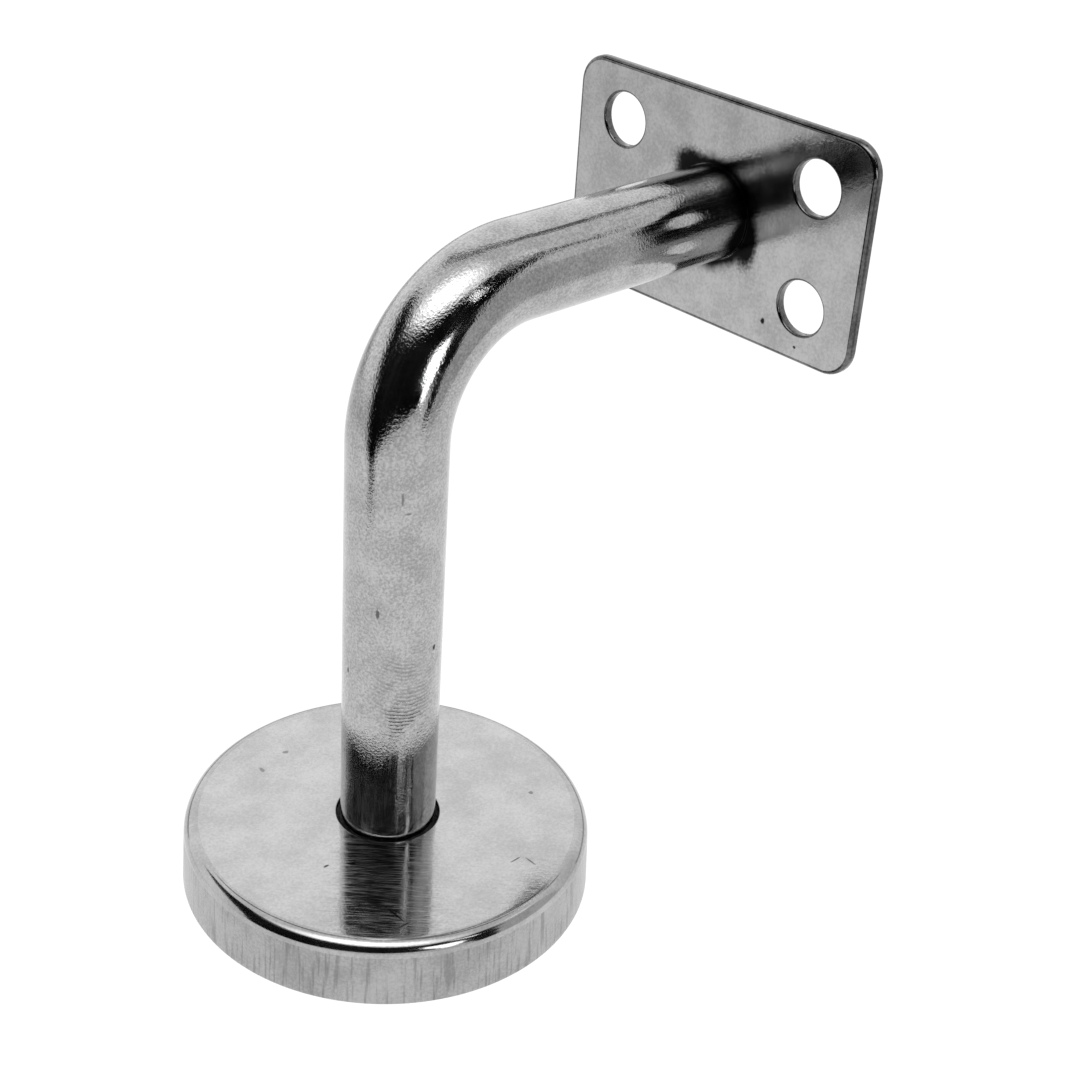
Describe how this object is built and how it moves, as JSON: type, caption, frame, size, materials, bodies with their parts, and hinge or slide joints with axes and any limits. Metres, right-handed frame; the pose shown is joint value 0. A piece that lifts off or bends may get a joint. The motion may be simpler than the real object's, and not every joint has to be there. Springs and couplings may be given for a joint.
{
  "type": "handrail bracket",
  "caption": "Wall bracket for a handrail: a bent round bar between a screw flange under a sliding cover and a flat plate with corner holes for the rail.",
  "frame": {"origin": "centre of the wall flange's back face, on the wall", "axes": "+Z out from the wall along the stem, +X along the arm to the rail plate, Y along the rail plate's long side"},
  "size_m": [0.0775, 0.0516, 0.0922],
  "materials": {
    "bar_steel": "polished",
    "plate_steel": "satin",
    "cover_steel": "satin",
    "flange_steel": "mill",
    "weld_steel": "as welded"
  },
  "bodies": {
    "bracket": {"arm_rod": "bar_steel", "rail_plate": "plate_steel", "wall_flange": "flange_steel", "flange_weld": "weld_steel", "plate_weld": "weld_steel"},
    "cover": {"flange_cover": "cover_steel"}
  },
  "joints": [
    {"name": "cover_slide", "type": "slide", "parent": "bracket", "child": "cover", "axis": [0, 0, 1], "range_m": [0, 0.052]}
  ]
}
